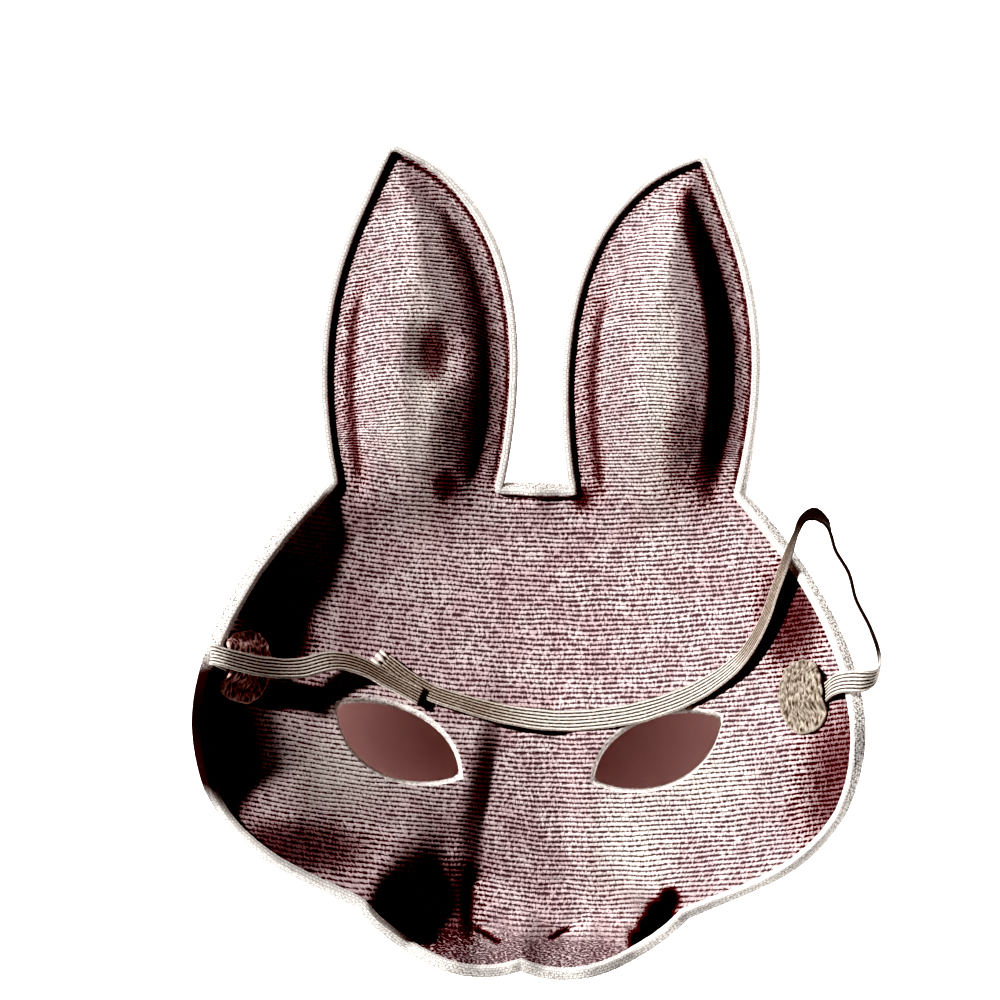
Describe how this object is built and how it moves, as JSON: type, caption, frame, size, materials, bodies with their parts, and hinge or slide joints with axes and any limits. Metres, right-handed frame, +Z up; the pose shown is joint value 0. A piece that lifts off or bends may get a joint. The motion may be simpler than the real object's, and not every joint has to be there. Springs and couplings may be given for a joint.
{
  "type": "rabbit mask",
  "caption": "Rabbit half mask of pressed, stiffened cloth with tall ears, eye holes, a muzzle and a taped edge, worn on the face by a flat elastic.",
  "frame": {"origin": "on the surface that the mask lies on, under the middle of its outline", "axes": "+Y from the lip to the ear tips, +X across the mask, +Z up out of the hollow towards the wearer's head"},
  "size_m": [0.1866, 0.2282, 0.0633],
  "materials": {
    "pressed_cloth": "stiffened ribbed weave of pale pink over maroon yarns",
    "white_tape": "folded woven tape",
    "rough_cloth": "matted beige fibres",
    "elastic": "ribbed flat elastic"
  },
  "bodies": {
    "root": {"mask_shell": "pressed_cloth", "edge_binding": "white_tape", "patch_left": "rough_cloth", "patch_right": "rough_cloth", "strap_short": "elastic", "strap_long": "elastic"}
  },
  "joints": []
}
